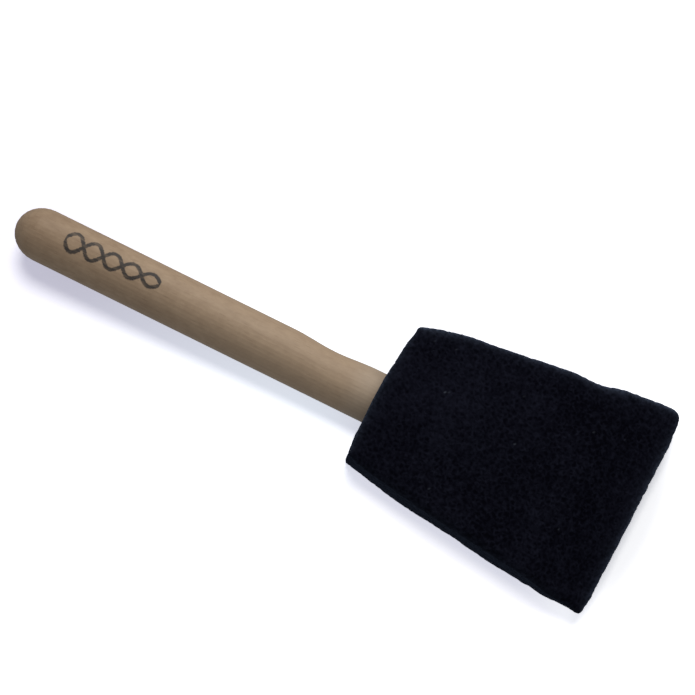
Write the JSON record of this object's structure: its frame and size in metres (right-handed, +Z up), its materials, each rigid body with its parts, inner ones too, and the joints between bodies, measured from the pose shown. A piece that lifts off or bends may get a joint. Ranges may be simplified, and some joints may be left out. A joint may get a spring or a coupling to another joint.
{
  "type": "foam sponge brush",
  "caption": "Foam sponge brush: a round domed wooden handle fixed in a hidden moulded tongue, with a flared black foam head cut to a chisel tip.",
  "frame": {"origin": "on the foam head's flat underside, directly below the handle's axis, half way between the near edge and the start of the chisel bevel", "axes": "+X along the handle from its butt to the foam's tip, +Z up out of the resting face, +Y across the head"},
  "size_m": [0.1592, 0.0514, 0.019],
  "materials": {
    "birch": "turned and sanded pale birch, satin, with fine grain along the handle",
    "polypropylene": "natural off-white moulded plastic",
    "steel_wire": "bright drawn wire",
    "adhesive": "set hot-melt adhesive, pale amber",
    "black_foam": "open-cell polyurethane foam, matt near-black with fine pores"
  },
  "bodies": {
    "root": {"handle": "birch", "tongue": "polypropylene", "socket_staple": "steel_wire", "glue_film_upper": "adhesive", "glue_film_lower": "adhesive", "foam_head": "black_foam"}
  },
  "joints": []
}
